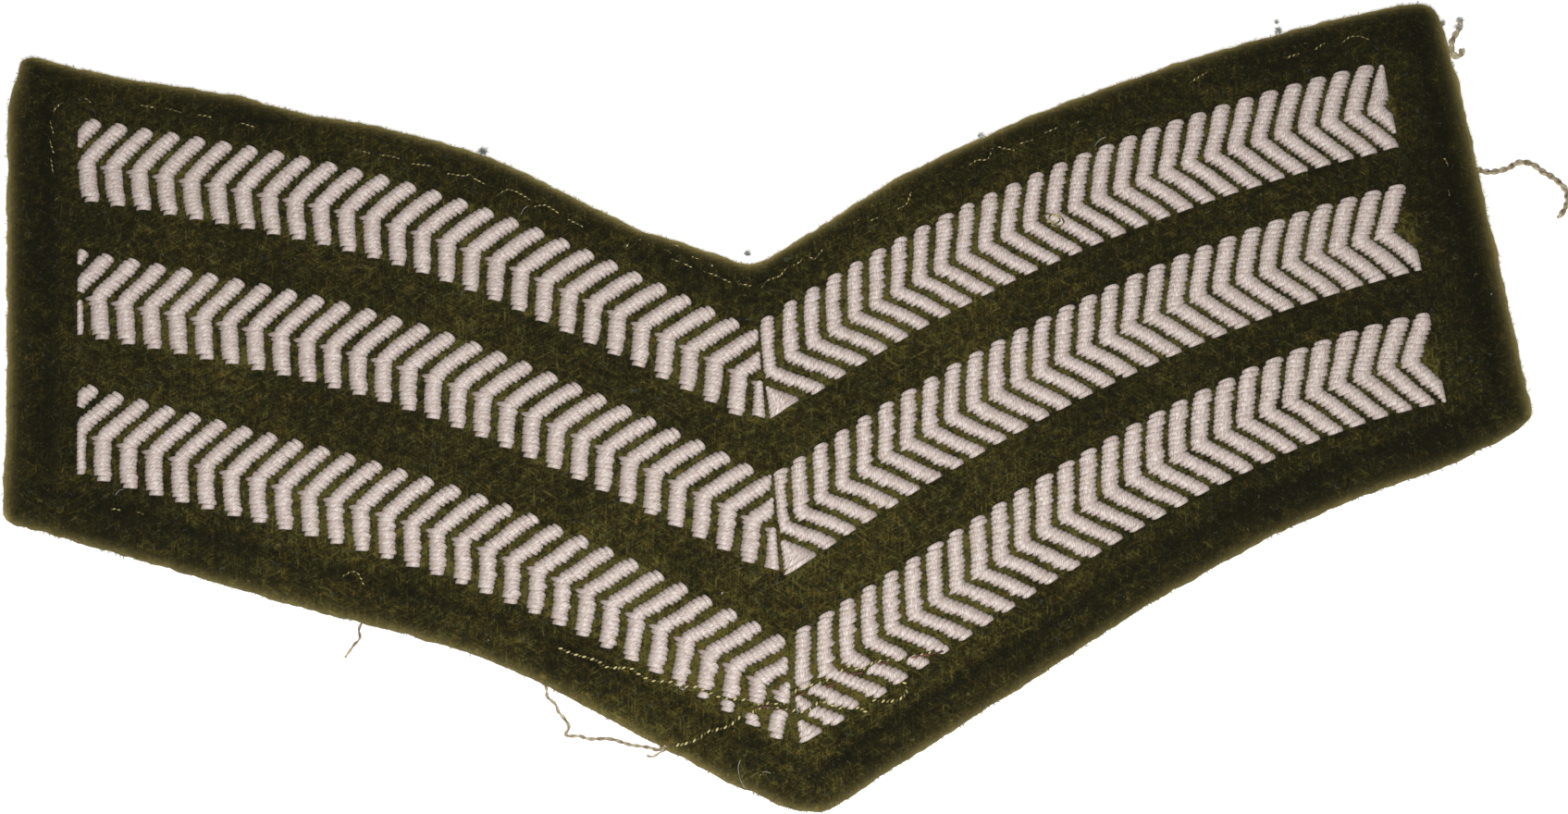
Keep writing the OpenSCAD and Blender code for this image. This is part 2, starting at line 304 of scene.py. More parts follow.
# How the stitching departs from the even bars: left and right edge of the upper limb, the same of
# the lower limb (to the right), then how much the upper and the lower end are drawn in. Sizes in mm.
limbEdges = {
    "chevron_top_left": (-0.02, 0.05, 0.10, 0.20, 0.05, 0.05),
    "chevron_top_right": (0.17, 0.15, 0.20, 0.15, 0.05, 0.25),
    "chevron_middle_left": (0.07, 0.15, 0.10, 0.20, 0.15, 0.12),
    "chevron_middle_right": (0.22, 0.28, 0.15, 0.20, 0.18, 0.12),
    "chevron_bottom_left": (0.02, 0.07, 0.00, 0.03, 0.23, 0.15),
    "chevron_bottom_right": (0.05, 0.18, 0.13, 0.12, 0.13, 0.20),
}
# How uneven the toothed edges of the bars are, near the seam and at the far end. Sizes in mm.
toothSpread = {
    "chevron_top_left": (0.18, 0.06), "chevron_top_right": (0.32, 0.10),
    "chevron_middle_left": (0.22, 0.08), "chevron_middle_right": (0.36, 0.14),
    "chevron_bottom_left": (0.32, 0.12), "chevron_bottom_right": (0.40, 0.18),
}
# Where the arms meet, the last right bar fills the corner of the stripe. Sizes in mm.
junctions = {
    "top": {"bar": -1, "nudge": -0.35, "trim": 0.75, "longer": 0.0},
    "middle": {"bar": -2, "nudge": 0.3, "trim": 0.45, "longer": 0.0},
    "bottom": {"bar": -2, "nudge": 0.4, "trim": 0.1, "longer": 0.11},
    "reach": 2.6, "longerReach": 10.0, "nudgeReach": 1.3,  # the last in bars
}


def limbRun(arm, v):
    up, down = sided(arm, bars, "leftLeans", "rightLeans")
    fromVertex = v + sided(arm, bars, "leftDrop", "rightDrop")
    return np.abs(fromVertex) / np.tan(np.radians(np.where(fromVertex > 0, up, down)))


def cutThreads(arm, run, rows):
    # cuts the threads off at the seam and at the slanting end of the stripe; gives the length that
    # shows of each and how near the seam it comes
    side = arm["side"]
    leftX, leftY = onArm(run, rows["leftS"], rows["leftV"])
    rightX, rightY = onArm(run, rows["rightS"], rows["rightV"])
    innerX, outerX, outerY = (rightX, leftX, leftY) if side < 0 else (leftX, rightX, rightY)
    bound = sided(arm, patch, "leftSpan", "rightSpan") - outerY * math.tan(math.radians(patch["endLean"]))
    reach = np.maximum(side * (outerX - innerX), 0.01)
    cutIn = np.clip((patch["seamGap"] / 2 - side * innerX) / reach, 0, 1)
    cutOut = np.clip((side * outerX - bound) / reach, 0, 1)
    cutLeft, cutRight = (cutOut, cutIn) if side < 0 else (cutIn, cutOut)
    shown = np.clip(1 - cutLeft - cutRight, 0, 1) * (rows["rightS"] - rows["leftS"])
    for left, right in (("leftS", "rightS"), ("leftV", "rightV")):
        across = rows[right] - rows[left]
        rows[left], rows[right] = rows[left] + cutLeft * across, rows[right] - cutRight * across
    rows["nib"] = np.where(cutLeft > 0, 0, rows["nib"])
    full = satin["fullFrom"] * bars["width"]
    rows["tall"] = rows["tall"] * np.clip(shown / full, satin["lowest"], 1) ** 0.5
    return shown, np.minimum(np.abs(leftX), np.abs(rightX))


def barThreads(arm, run):
    # one row for each thread: its two ends (s, v) and its height and place in the bar
    side = arm["side"]
    pitch = sided(arm, bars, "leftPitch", "rightPitch") * arm["spacing"]
    halfStripe = arm["wide"] * patch["stripeWidth"] / 2
    length = abs(armEnd(arm, run))
    last = math.floor(length / pitch - arm["first"] - arm["room"])
    number = np.arange(-bars["pastSeam"], last + 1)
    upperLeft, upperRight, lowerLeft, lowerRight, topIn, bottomIn = limbEdges[arm["node"]]
    topEnd, bottomEnd = halfStripe - topIn, bottomIn - halfStripe
    rowCount = round((topEnd - bottomEnd) / satin["step"])
    rowAt = bottomEnd + (np.arange(rowCount) + 0.5) / rowCount * (topEnd - bottomEnd)
    number, v = [grid.ravel() for grid in np.meshgrid(number, rowAt, indexing="ij")]
    barAt = side * (number + arm["first"]) * pitch
    v = v + draws.normal(0, satin["wobble"], len(v))
    junction = junctions[arm["node"].split("_")[1]]
    if side > 0:
        fromJunction = (number - junction["bar"]) / junctions["nudgeReach"]
        barAt = barAt + junction["nudge"] * np.exp(-fromJunction ** 2)
        # near the seam the lower limbs are longer
        longer = 1 + junction["longer"] * np.exp(-np.abs(barAt) / junctions["longerReach"])
        v, bottomEnd = np.where(v < 0, v * longer, v), bottomEnd * longer
    drop = sided(arm, bars, "leftDrop", "rightDrop")
    upper = v + drop > 0
    skew = np.tan(np.radians(np.where(upper, *satin["skew"])))
    if side > 0:
        skew = skew * satin["rightSkewShare"]
    half = bars["width"] / 2 - satin["narrowed"]
    tip = np.clip(np.minimum(topEnd - v, v - bottomEnd) / satin["tipLength"], 0, 1) ** satin["tipRound"]
    # the tips are rounded: the left and right corner of the upper tip, then those of the lower one
    (upLeft, upRight), (downLeft, downRight) = sided(arm, satin, "leftArmTips", "rightArmTips")
    short = satin["tipShort"] * (1 - tip)
    shortLeft = short * np.where(upper, upLeft, downLeft)
    shortRight = short * np.where(upper, upRight, downRight)
    leftV, rightV = v - skew * half, v + skew * half
    leftS = barAt + limbRun(arm, np.where(upper == (leftV + drop > 0), leftV, -drop)) - half
    rightS = barAt + limbRun(arm, np.where(upper == (rightV + drop > 0), rightV, -drop)) + half
    leftTeeth = (side > 0) & ~upper
    rightTeeth = (side < 0) | upper
    outAlong = np.abs(barAt) / length
    tooth = np.interp(outAlong, (0, 1), toothSpread[arm["node"]])
    loose = (draws.uniform(*satin["toothDraw"], (2, len(v))) ** 2 - satin["toothMean"]) * tooth
    loose += sided(arm, satin, "leftReach", "rightReach")
    calm = draws.normal(0, satin["wobble"], (2, len(v)))
    swayDown, swayAlong = satin["swayWaves"]
    sway = satin["sway"] * np.sin(v * swayDown + barAt * swayAlong)  # no bar is quite straight
    low = np.clip(0.5 - (v + drop) / satin["elbowBlend"], 0, 1)  # 0 in the upper limb, 1 in the lower
    leftS += sway + shortLeft + upperLeft + low * (lowerLeft - upperLeft)
    rightS += sway - shortRight + upperRight + low * (lowerRight - upperRight)
    leftS -= np.where(leftTeeth, loose[0], calm[0])
    rightS += np.where(rightTeeth, loose[1], calm[1])
    if side > 0:
        widened = np.interp(outAlong, (0, 1), satin["widened"])
        leftS, rightS = leftS - widened, rightS + widened
        leftS -= (number == junction["bar"]) * 2 * pitch  # as far as the seam, where it is cut off
    # the first thread below the elbow reaches out to the left, and the next one a little
    rowsDown = np.floor(-(v + drop) / satin["step"])
    nibShare = np.select([rowsDown == 0, rowsDown == 1], [1, satin["nextNib"]], 0)
    rows = {"leftS": leftS, "rightS": rightS, "leftV": leftV, "rightV": rightV,
            "nib": sided(arm, satin, "leftNib", "rightNib") * nibShare,
            "tall": satin["tipHeight"] + (1 - satin["tipHeight"]) * tip,
            "neat": np.clip(1 - tooth / satin["boldTooth"], 0, 1),
            "leftTeeth": np.broadcast_to(leftTeeth, v.shape),
            "rightTeeth": np.broadcast_to(rightTeeth, v.shape)}
    shown, fromSeam = cutThreads(arm, run, rows)
    foot = junction["trim"] * np.clip(1 - fromSeam / junctions["reach"], 0, 1)
    keep = (shown > satin["shortest"]) & (v > foot + bottomEnd)
    if side > 0:
        keep &= number >= junction["bar"]
    return {key: value[keep] for key, value in rows.items()}


def stitchedArm(arm, template, material):
    run = armRun(arm)
    rows = barThreads(arm, run)
    t = np.linspace(-1, 1, satin["segments"] + 1)
    u = np.sin(t * math.pi / 2)[None, :]
    middleS = (rows["leftS"] + rows["rightS"]) / 2
    halfS = np.maximum(rows["rightS"] - rows["leftS"], satin["stub"]) / 2
    middleV, halfV = (rows["leftV"] + rows["rightV"]) / 2, (rows["rightV"] - rows["leftV"]) / 2
    # threads beside the pulled thread are pressed down and drawn in; those under it are gone
    clear = apart(np.stack(onArm(run, middleS, middleV), axis=1), pinches)
    free = np.clip((clear - satin["pinchClear"]) / satin["pinchSpread"], 0, 1) ** satin["pinchRound"]
    halfS = halfS * (1 - satin["pinchShare"] * (1 - free))
    tall = rows["tall"] * (satin["pinchTall"] + (1 - satin["pinchTall"]) * free)
    tall = tall * (1 + draws.normal(0, satin["heightSpread"], len(free)))
    keep = clear > satin["pinchClear"]
    s = middleS[:, None] + halfS[:, None] * u
    v = middleV[:, None] + halfV[:, None] * u
    highest = sided(arm, satin, "leftCrown", "rightCrown")  # the padding is fuller towards the seam
    fromHighest = (u - highest) / (1 - highest * np.sign(u - highest))
    crown = (1 - np.abs(fromHighest) ** satin["crownPower"]).clip(0, 1) ** satin["crownRound"]
    seat = patch["feltThick"] + bars["seatGap"] - satin["sunk"]
    rise = bars["height"] - satin["halfHeight"] + satin["sunk"]
    z = seat + rise * tall[:, None] * crown
    nibbed = rows["nib"] > satin["nibFrom"]
    s[:, 0] -= rows["nib"]
    s[:, 1] -= 0.5 * rows["nib"]
    z[:, 0] += satin["nibRaised"] * nibbed
    # direction of the thread in the plane of s and z, and the normal to it
    ds, dz = np.gradient(s, axis=1), np.gradient(z, axis=1)
    long = np.hypot(ds, dz)
    normalS, normalZ = -dz / long, ds / long
    taper = np.ones_like(s)
    for k, (pointed, blunt) in enumerate(zip(satin["pointed"], satin["blunt"])):
        leftEnd = np.where(nibbed, (pointed + blunt) / 2, blunt)
        toothed = pointed + rows["neat"] * (blunt - pointed)
        taper[:, k] = np.where(rows["leftTeeth"], toothed, leftEnd)
        taper[:, -1 - k] = np.where(rows["rightTeeth"], toothed, blunt)
    s, v, z, normalS, normalZ, taper = [a[keep] for a in (s, v, z, normalS, normalZ, taper)]
    cosine, sine, ring = templatePoints(template)
    across = v[:, ring] + satin["halfWidth"] * taper[:, ring] * cosine
    along = s[:, ring] + satin["halfHeight"] * taper[:, ring] * sine * normalS[:, ring]
    height = z[:, ring] + satin["halfHeight"] * taper[:, ring] * sine * normalZ[:, ring]
    points = np.stack([*onArm(run, along, across), height], axis=-1)
    tint = np.repeat(draws.uniform(0, 1, len(s)), len(ring))
    outer = np.full(len(tint), 0.0 if arm["side"] < 0 else 1.0)  # the thread's end away from the seam
    piece = addPiece(arm["node"] + "_satin", manyOf(template, len(s)), points, material, "satin_thread",
                     tint=tint, outer=outer)
    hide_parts(arm["node"])
    return np.stack([*onArm(run, s, v), z], axis=-1).reshape(-1, 3)


# Materials

def newMaterial(name, roughness, specular=0.5):
    material = bpy.data.materials.new(name)
    material.use_nodes = True
    tree = material.node_tree
    shader = tree.nodes["Principled BSDF"]
    shader.inputs["Roughness"].default_value = roughness
    shader.inputs["Specular IOR Level"].default_value = specular
    return material, tree, shader


def addNode(tree, kind, **settings):
    node = tree.nodes.new(kind)
    for key, value in settings.items():
        if key in node.inputs:
            node.inputs[key].default_value = value
        else:
            setattr(node, key, value)
    return node


def feed(tree, value, socket):
    # gives a socket what another node puts out, or a plain value
    if isinstance(value, bpy.types.NodeSocket):
        tree.links.new(value, socket)
    else:
        socket.default_value = value


def mixColours(tree, mask, first, second, blend="MIX"):
    node = tree.nodes.new("ShaderNodeMix")
    node.data_type = "RGBA"
    node.blend_type = blend
    for value, number in ((mask, 0), (first, 6), (second, 7)):
        feed(tree, value, node.inputs[number])
    return node.outputs[2]


def rampOf(tree, value, stops):
    node = tree.nodes.new("ShaderNodeValToRGB")
    elements = node.color_ramp.elements
    while len(elements) < len(stops):
        elements.new(0.5)
    for element, (place, colour) in zip(elements, stops):
        element.position = place
        element.color = colour
    tree.links.new(value, node.inputs[0])
    return node.outputs[0]


def calc(tree, operation, *values):
    node = tree.nodes.new("ShaderNodeMath")
    node.operation = operation
    for value, socket in zip(values, node.inputs):
        feed(tree, value, socket)
    return node.outputs[0]


def noiseOf(tree, place, scale, **settings):
    node = addNode(tree, "ShaderNodeTexNoise", Scale=scale, **settings)
    tree.links.new(place, node.inputs["Vector"])
    return node.outputs[0]


def attributeOf(tree, name):
    return addNode(tree, "ShaderNodeAttribute", attribute_name=name).outputs["Fac"]


def addBump(tree, shader, height, strength, depth):
    bump = addNode(tree, "ShaderNodeBump", Strength=strength, Distance=depth)
    tree.links.new(height, bump.inputs["Height"])
    tree.links.new(bump.outputs[0], shader.inputs["Normal"])


def grey(value):
    return (value, value, value, 1)


def mottleGroup():
    # colour and height of felted wool, shared by the felt and its fibres
    group = bpy.data.node_groups.new("woolMottle", "ShaderNodeTree")
    for name, way, kind in (("Vector", "INPUT", "Vector"), ("Lift", "INPUT", "Float"),
                            ("Colour", "OUTPUT", "Color"), ("Height", "OUTPUT", "Float")):
        group.interface.new_socket(name=name, in_out=way, socket_type="NodeSocket" + kind)
    given = group.nodes.new("NodeGroupInput")
    out = group.nodes.new("NodeGroupOutput")
    place = given.outputs["Vector"]
    tufts = noiseOf(group, place, 1100.0, Detail=3.0, Roughness=0.6, Distortion=0.6)
    curls = noiseOf(group, place, 4200.0, Detail=3.0, Roughness=0.65, Distortion=2.2)
    patches = noiseOf(group, place, 150.0, Detail=3.0)
    odd = noiseOf(group, place, 1900.0, Detail=2.0, Distortion=1.0)
    hue = noiseOf(group, place, 1300.0, Detail=3.0, Distortion=1.0)
    # hairs: noise drawn out in three directions, the strongest shows
    hairs = None
    for angle in (0.4, 1.5, 2.5):
        turned = addNode(group, "ShaderNodeMapping", vector_type="TEXTURE", Rotation=(0, 0, angle),
                         Scale=(1 / 750, 1 / 4600, 1 / 1500))
        group.links.new(place, turned.inputs["Vector"])
        drawn = noiseOf(group, turned.outputs[0], 1.0, Detail=2.0, Distortion=0.5)
        hairs = drawn if hairs is None else calc(group, "MAXIMUM", hairs, drawn)
    fine = calc(group, "MULTIPLY_ADD", curls, 0.8, -0.68)
    fine = calc(group, "MULTIPLY_ADD", hairs, 0.9, fine)
    mixed = calc(group, "MULTIPLY_ADD", tufts, 0.5, fine)
    wide = calc(group, "MULTIPLY_ADD", patches, 0.3, -0.15)
    level = calc(group, "ADD", calc(group, "ADD", mixed, wide), given.outputs["Lift"])
    wool = rampOf(group, level, ((0.28, (0.0045, 0.0042, 0.0011, 1)), (0.42, (0.0125, 0.0105, 0.0022, 1)),
                                 (0.56, (0.033, 0.028, 0.0058, 1)), (0.74, (0.12, 0.104, 0.024, 1))))
    # the wool is dyed unevenly, from brown to bottle green
    brown = rampOf(group, hue, ((0.38, grey(0.8)), (0.50, grey(0))))
    green = rampOf(group, hue, ((0.50, grey(0)), (0.62, grey(0.8))))
    wool = mixColours(group, brown, wool, (1.14, 0.97, 0.80, 1), "MULTIPLY")
    wool = mixColours(group, green, wool, (0.88, 0.98, 1.06, 1), "MULTIPLY")
    # a few fibres of another colour: bluish grey and pale straw
    blue = rampOf(group, odd, ((0.66, grey(0)), (0.74, grey(1))))
    straw = rampOf(group, odd, ((0.24, grey(1)), (0.31, grey(0))))
    wool = mixColours(group, calc(group, "MULTIPLY", blue, 0.45), wool, (0.07, 0.085, 0.08, 1))
    wool = mixColours(group, calc(group, "MULTIPLY", straw, 0.45), wool, (0.19, 0.16, 0.07, 1))
    group.links.new(wool, out.inputs["Colour"])
    group.links.new(mixed, out.inputs["Height"])
    return group


woolGroup = mottleGroup()


def woolMaterial(name, lift, rimShare, bumpDepth):
    # the rim is how pale the wool is at the cut edge, the shade how light it is elsewhere, which carries
    # painted light and shade
    material, tree, shader = newMaterial(name, 0.92, 0.1)
    shader.inputs["Sheen Weight"].default_value = 0.06
    shader.inputs["Sheen Roughness"].default_value = 0.6
    shader.inputs["Sheen Tint"].default_value = (0.75, 0.72, 0.4, 1)
    place = addNode(tree, "ShaderNodeTexCoord").outputs["Object"]
    wool = addNode(tree, "ShaderNodeGroup", node_tree=woolGroup)
    tree.links.new(place, wool.inputs["Vector"])
    tree.links.new(calc(tree, "MULTIPLY_ADD", attributeOf(tree, "shade"), 0.1, lift), wool.inputs["Lift"])
    pale = calc(tree, "MULTIPLY_ADD", wool.outputs["Height"], 0.8, 0.6)
    rim = calc(tree, "MULTIPLY", calc(tree, "MULTIPLY", attributeOf(tree, "rim"), pale), rimShare)
    tree.links.new(mixColours(tree, rim, wool.outputs["Colour"], (0.46, 0.37, 0.12, 1)),
                   shader.inputs["Base Color"])
    if bumpDepth:
        addBump(tree, shader, wool.outputs["Height"], 0.9, bumpDepth)
    return material


def satinMaterial():
    material, tree, shader = newMaterial("satinThread", 0.42, 0.45)
    shader.inputs["Sheen Weight"].default_value = 0.15
    place = addNode(tree, "ShaderNodeTexCoord").outputs
    shade = attributeOf(tree, "tint")
    grime = noiseOf(tree, place["Object"], 160.0, Detail=3.0)
    grain = noiseOf(tree, place["Object"], 4200.0, Detail=2.0)
    colour = mixColours(tree, shade, (0.51, 0.40, 0.35, 1), (0.58, 0.475, 0.425, 1))
    grimy = rampOf(tree, grime, ((0.45, grey(0)), (0.75, grey(0.5))))
    colour = mixColours(tree, grimy, colour, (0.48, 0.39, 0.32, 1))
    # filaments: fine streaks along each thread, different on every thread; the pale streaks are painted
    # glints and the dark ones painted shade
    parts = addNode(tree, "ShaderNodeSeparateXYZ")
    tree.links.new(place["UV"], parts.inputs[0])
    along = parts.outputs[0]
    around = calc(tree, "MULTIPLY_ADD", along, 2.0, parts.outputs[1])
    onThread = addNode(tree, "ShaderNodeCombineXYZ")
    for value, factor, socket in ((along, 10.0, 0), (around, 13.0, 1), (shade, 60.0, 2)):
        tree.links.new(calc(tree, "MULTIPLY", value, factor), onThread.inputs[socket])
    streaks = noiseOf(tree, onThread.outputs[0], 1.0, Detail=2.0, Roughness=0.6)
    pale = rampOf(tree, streaks, ((0.47, grey(0)), (0.64, grey(0.8))))
    streakShade = rampOf(tree, streaks, ((0.30, grey(0.75)), (0.46, grey(0))))
    # painted glints on the pale streaks, painted shade on the dark streaks
    colour = mixColours(tree, pale, colour, (0.84, 0.785, 0.73, 1))
    colour = mixColours(tree, streakShade, colour, (0.31, 0.235, 0.20, 1))
    # painted shade: the side away from the seam is darker, and so are the ends, where they go down into the
    # wool
    fromOuter = calc(tree, "ABSOLUTE", calc(tree, "SUBTRACT", attributeOf(tree, "outer"), along))
    outerShade = rampOf(tree, fromOuter, ((0.04, grey(0.6)), (0.5, grey(0))))
    colour = mixColours(tree, outerShade, colour, (0.24, 0.18, 0.15, 1))
    # painted shade where the thread ends dip into the wool
    fromEnd = calc(tree, "MINIMUM", along, calc(tree, "SUBTRACT", 1.0, along))
    endShade = rampOf(tree, fromEnd, ((0.03, grey(0.6)), (0.18, grey(0))))
    colour = mixColours(tree, endShade, colour, (0.19, 0.13, 0.06, 1))
    tree.links.new(colour, shader.inputs["Base Color"])
    addBump(tree, shader, calc(tree, "MULTIPLY_ADD", grain, 0.6, streaks), 0.7, 0.00006)
    return material


def threadMaterial(name, dark, light, roughness, scale=900.0):
    # the tint attribute, where a piece has one, makes it lighter or darker
    material, tree, shader = newMaterial(name, roughness, 0.4)
    place = addNode(tree, "ShaderNodeTexCoord").outputs["Object"]
    tinted = calc(tree, "ADD", noiseOf(tree, place, scale, Detail=2.0), attributeOf(tree, "tint"))
    mask = rampOf(tree, tinted, ((0.35, grey(0)), (0.65, grey(1))))
    tree.links.new(mixColours(tree, mask, dark, light), shader.inputs["Base Color"])
    addBump(tree, shader, noiseOf(tree, place, 9000.0, Detail=1.0), 0.4, 0.00003)
    return material


satinFinish = satinMaterial()
feltFinish = woolMaterial("woolFelt", 0.0, 1.0, 0.0002)
napFinish = woolMaterial("woolNap", 0.02, 0.5, 0)
fuzzFinish = woolMaterial("woolFuzz", 0.1, 1.0, 0)
sewingFinish = threadMaterial("sewingThread", (0.07, 0.055, 0.018, 1), (0.55, 0.47, 0.20, 1), 0.36)
looseFinish = threadMaterial("looseThread", (0.17, 0.12, 0.06, 1), (0.52, 0.46, 0.31, 1), 0.6, 1600.0)
slitFinish = threadMaterial("brownThread", (0.06, 0.018, 0.010, 1), (0.19, 0.07, 0.035, 1), 0.5)
lintFinish = threadMaterial("lint", (0.20, 0.21, 0.19, 1), (0.66, 0.64, 0.60, 1), 0.8)
print("materials made")

threadTemplate = tubeMesh(satin["sides"], satin["segments"])
stitchPoints = np.vstack([stitchedArm(arm, threadTemplate, satinFinish) for arm in arms])

# Felt ground: the CAD slab remeshed, with a soft, hand-cut edge and an uneven face. Sizes in mm.
feltLook = {
    "voxel": 0.45, "smoothing": 2, "outlineStep": 0.2, "faceFrom": 0.3,
    "ragged": 0.13, "frayed": 0.2, "edgeReach": 0.9, "edgeDrop": 0.35,
    "uneven": 0.05, "tufts": 0.06, "bedded": 0.12, "beddedReach": 0.6,
    "rimReach": (0.42, 0.28, 0.38), "rimShare": (1.3, 1.6, 0.32), "wallShare": 0.2,  # aside, up, down
    "facingPower": 6, "palest": 0.95,
    "grooveAt": 3.8, "grooveShift": 0.65, "grooveWide": 0.7, "grooveDeep": 0.2, "grooveShade": 1.1,
    "lip": 0.12, "lipAt": 2.0, "lipWide": 1.0, "upperEdge": 0.3, "upperGroove": 0.25, "upperLip": 0.3,
    "glow": 0.45, "glowAt": (-12.0, -5.0), "glowReach": (42.0, 22.0), "marginGlow": 0.7,
    "marginFrom": 1.6, "marginTo": 3.6, "marginDarker": 0.55, "darker": 0.13,
    "rightSpan": (20.0, 65.0), "rightDarker": 0.25, "rightMargin": 0.3,
    "stripeShare": 0.94, "stripePoints": 300, "stripeBlend": 0.6,
    # painted light on the wool in the gaps between the bars
    "betweenBars": (0.95, 1.45),  # left and right
    # lighter and darker places: x, y, reach and how much
    "patches": ((-58, 23, 9, 0.6), (-43, 5, 11, 0.5), (21, 16, 9, 0.8), (-9, -14, 10, 0.95),
                (-33, -13, 8, -0.5), (-73, 54, 5, 0.6), (-74, 25, 16, -0.4), (74, 1, 7, 0.7),
                (38, 24, 9, 0.3), (30, 0, 9, 0.3), (46, 43, 8, 0.6), (14, 28, 9, 0.5)),
    "cornerShifts": ((1558, 8, -0.45), (2, 545, 0.4)), "cornerReach": 6.0,  # pixels, then mm outwards
}


def noiseAt(points, wavelength, shift=0.0):
    # one smooth random value from -1 to 1 for each point, in mm
    return np.array([noise.noise(Vector(p) / wavelength + Vector((shift, shift, shift))) for p in points])


def feltBlank():
    bm = bmesh.new()
    bm.from_mesh(nodes["felt_ground"].data)
    bmesh.ops.remove_doubles(bm, verts=bm.verts, dist=1e-6)
    whole = bm.verts[:] + bm.edges[:] + bm.faces[:]
    halfway = patch["feltThick"] / 2 * mm
    cut = bmesh.ops.bisect_plane(bm, geom=whole, plane_co=(0, 0, halfway), plane_no=(0, 0, 1))["geom_cut"]
    outline, outwards = [], []
    for edge in [g for g in cut if isinstance(g, bmesh.types.BMEdge)]:
        a, b = np.array(edge.verts[0].co) / mm, np.array(edge.verts[1].co) / mm
        count = max(1, int(np.linalg.norm(b - a) / feltLook["outlineStep"]))
        for k in range(count):
            outline.append(a + (b - a) * (k + 0.5) / count)
            outwards.append(np.array(edge.link_faces[0].normal))
    source = bpy.data.objects.new("feltBlank", meshFrom(bm, "feltBlank"))
    remesh = source.modifiers.new("remesh", "REMESH")
    remesh.mode = "VOXEL"
    remesh.voxel_size = feltLook["voxel"] * mm
    smooth = source.modifiers.new("smooth", "SMOOTH")
    smooth.iterations = feltLook["smoothing"]
    return meshOf(source), np.array(outline), np.array(outwards)


def nearest(places, points):
    # distance to, and number of, the nearest place in plan for each point
    tree = KDTree(len(places))
    for i, place in enumerate(places):
        tree.insert((place[0], place[1], 0), i)
    tree.balance()
    found = [tree.find((p[0], p[1], 0)) for p in points]
    return np.array([f[2] for f in found]), np.array([f[1] for f in found])


def stripeMiddles():
    # points along the middle of every arm's stripe
    middles = []
    for arm in arms:
        run = armRun(arm)
        s = np.linspace(0, feltLook["stripeShare"] * armEnd(arm, run), feltLook["stripePoints"])
        middles.append(np.stack(onArm(run, s, 0.0), axis=1))
    return np.vstack(middles)


def fieldShade(p, fromStitch):
    # painted light and shade on the wool: a painted pool of light between the stripes left of the middle,
    # painted shade in the margins and to the right, painted light between the bars, and lighter and darker
    # places
    (glowX, glowY), (wide, high) = feltLook["glowAt"], feltLook["glowReach"]
    glow = np.exp(-((p[:, 0] - glowX) / wide) ** 2 - ((p[:, 1] - glowY) / high) ** 2)
    margin = np.clip((fromStitch - feltLook["marginFrom"])
                     / (feltLook["marginTo"] - feltLook["marginFrom"]), 0, 1)
    right = np.interp(p[:, 0], feltLook["rightSpan"], (0, 1))
    inMargin = (feltLook["marginDarker"] + feltLook["rightMargin"] * right) * margin
    shade = feltLook["glow"] * glow - inMargin * (1 - feltLook["marginGlow"] * glow)
    shade -= feltLook["rightDarker"] * right + feltLook["darker"]
    fromMiddle, _ = nearest(stripeMiddles(), p)
    between = np.interp(p[:, 0], (-5, 5), feltLook["betweenBars"])
    shade += between * np.clip((patch["stripeWidth"] / 2 - fromMiddle) / feltLook["stripeBlend"], 0, 1)
    for x, y, wide, amount in feltLook["patches"]:
        shade += amount * np.exp(-((p[:, 0] - x) ** 2 + (p[:, 1] - y) ** 2) / wide ** 2)
    return shade


def rimPale(out, fromEdge, low):
    # the cut edge is pale; how far in and how much depends on the way it faces
    share = np.stack([np.abs(out[:, 0]), np.clip(out[:, 1], 0, 1), np.clip(-out[:, 1], 0, 1)])
    share = share ** feltLook["facingPower"]
    share /= share.sum(0)
    reach = (share * np.array(feltLook["rimReach"])[:, None]).sum(0)
    pale = (share * np.array(feltLook["rimShare"])[:, None]).sum(0) + feltLook["wallShare"] * low * share[2]
    return np.clip(pale * np.exp(-fromEdge / reach), 0, feltLook["palest"])


def shiftCorners(places):
    # two corners are cut a little further in or out than the rest
    for px, py, amount in feltLook["cornerShifts"]:
        corner = seenAt(px, py, patch["feltThick"])[:2]
        share = np.exp(-(np.linalg.norm(places[:, :2] - corner, axis=1) / feltLook["cornerReach"]) ** 2)
        places[:, :2] += amount * share[:, None] * corner / np.linalg.norm(corner)


